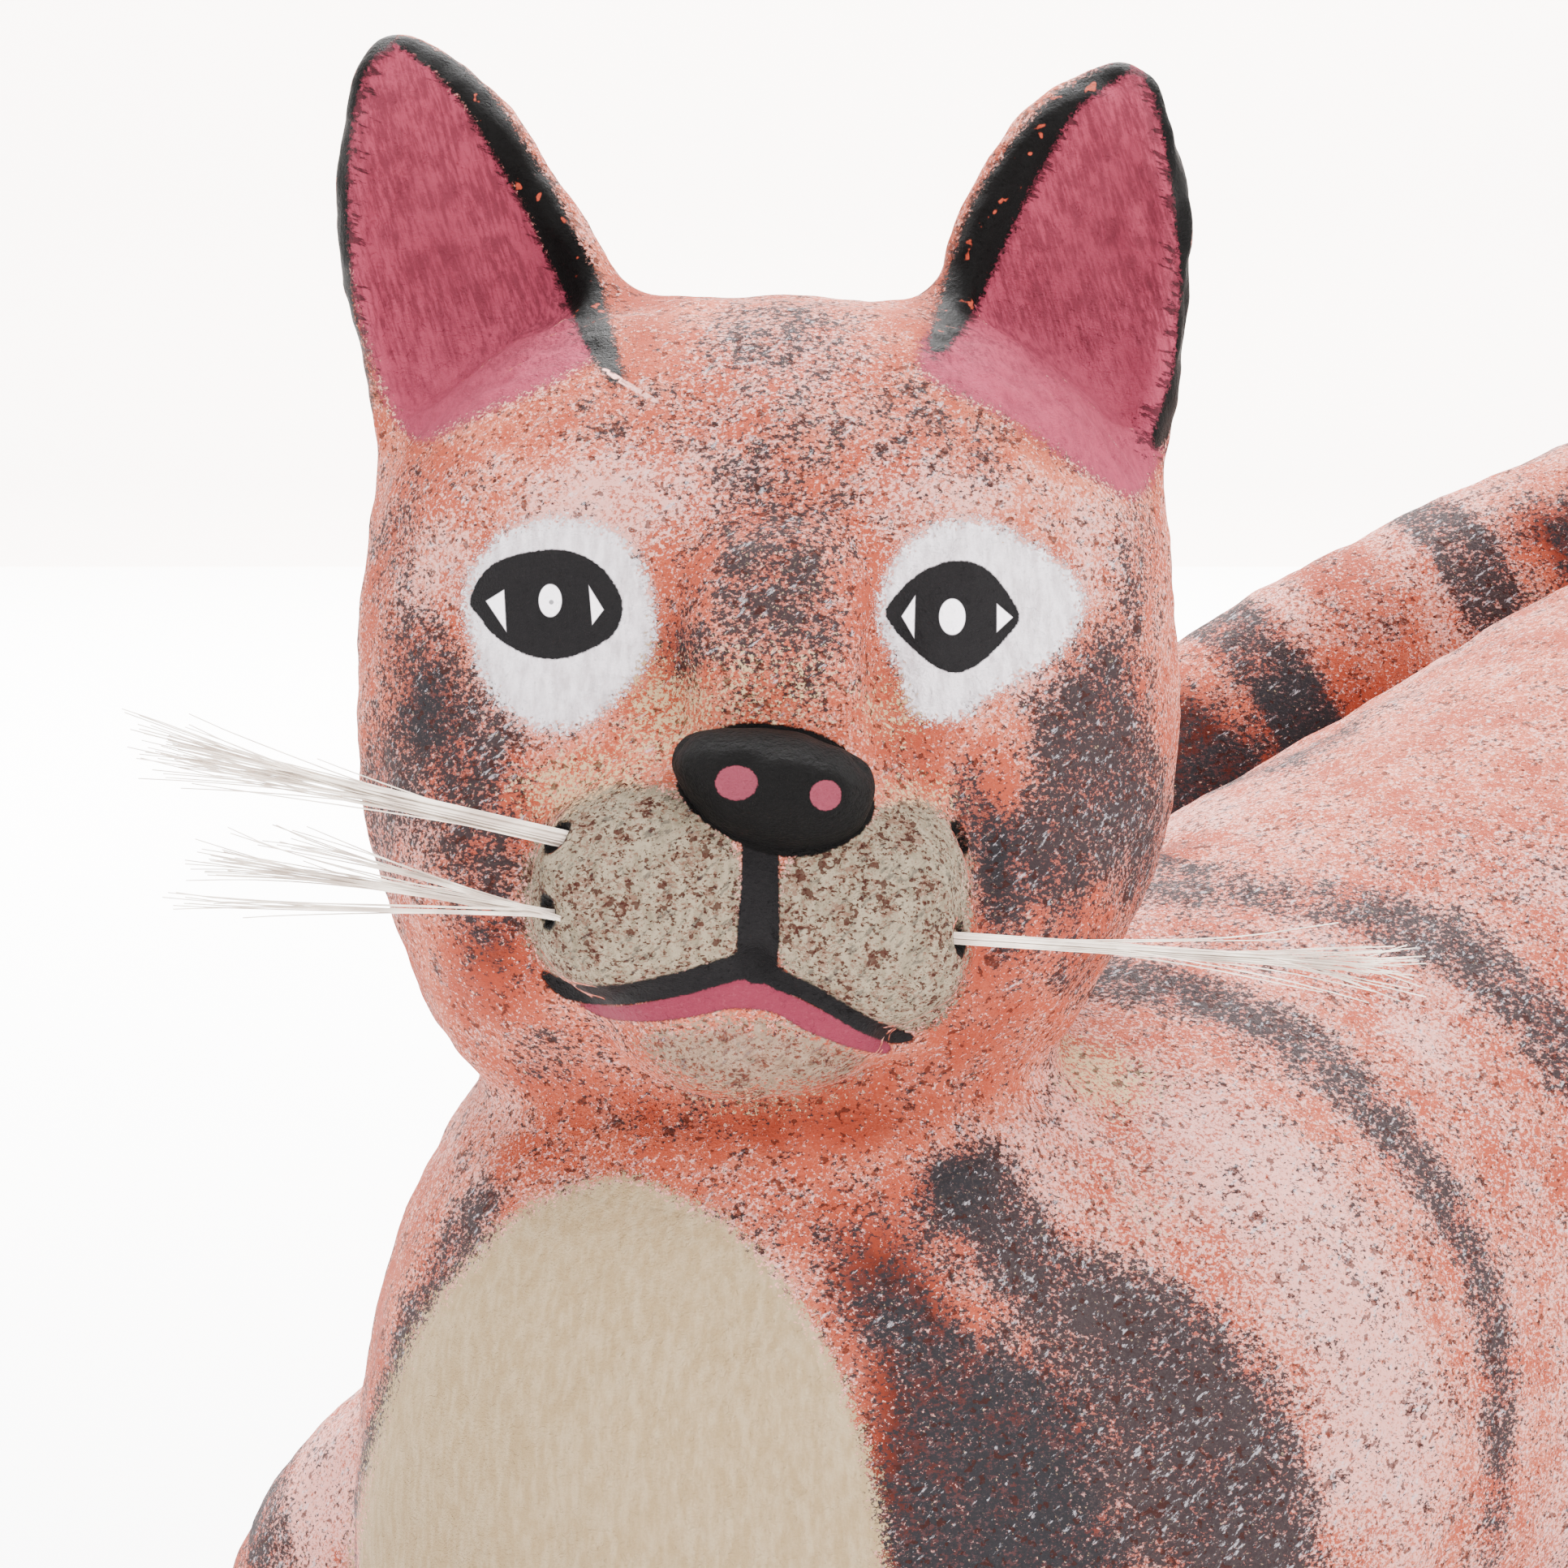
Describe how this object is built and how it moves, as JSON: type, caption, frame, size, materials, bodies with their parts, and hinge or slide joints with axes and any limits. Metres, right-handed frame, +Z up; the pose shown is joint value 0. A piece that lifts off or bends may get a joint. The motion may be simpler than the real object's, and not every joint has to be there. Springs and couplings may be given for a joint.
{
  "type": "alebrije figure",
  "caption": "Carved and painted wooden cat in a stretching pose, chest low and rump raised, with upright ears, fibre whiskers and an arched tail that plugs in.",
  "frame": {"origin": "on the ground under the centre of the bounding box", "axes": "+Z up, -Y the way the face looks, +X towards the figure's left; the trunk runs back and to +X"},
  "size_m": [0.257, 0.2703, 0.2086],
  "materials": {
    "painted_wood": "matte coral paint, dabbed with white, cream and slate",
    "rose_painted_wood": "matte paint, rose bowl with a black edge",
    "bare_wood": "bare copal wood",
    "plant_fibre": "dry pale plant fibre"
  },
  "bodies": {
    "figure": {"torso": "painted_wood", "head": "painted_wood", "left_ear": "rose_painted_wood", "right_ear": "rose_painted_wood", "front_left_leg": "painted_wood", "front_right_leg": "painted_wood", "hind_left_leg": "painted_wood", "hind_right_leg": "painted_wood", "neck_dowel": "bare_wood", "front_left_dowel": "bare_wood", "front_right_dowel": "bare_wood", "hind_left_dowel": "bare_wood", "hind_right_dowel": "bare_wood", "whisker_right_upper": "plant_fibre", "whisker_right_lower_front": "plant_fibre", "whisker_right_lower_middle": "plant_fibre", "whisker_right_lower_back": "plant_fibre", "whisker_left_lower": "plant_fibre"},
    "tail_body": {"tail": "painted_wood"}
  },
  "joints": [
    {"name": "tail_pull", "type": "slide", "parent": "figure", "child": "tail_body", "axis": [0.4087, 0.6978, 0.5882], "range_m": [0, 0.03]}
  ]
}
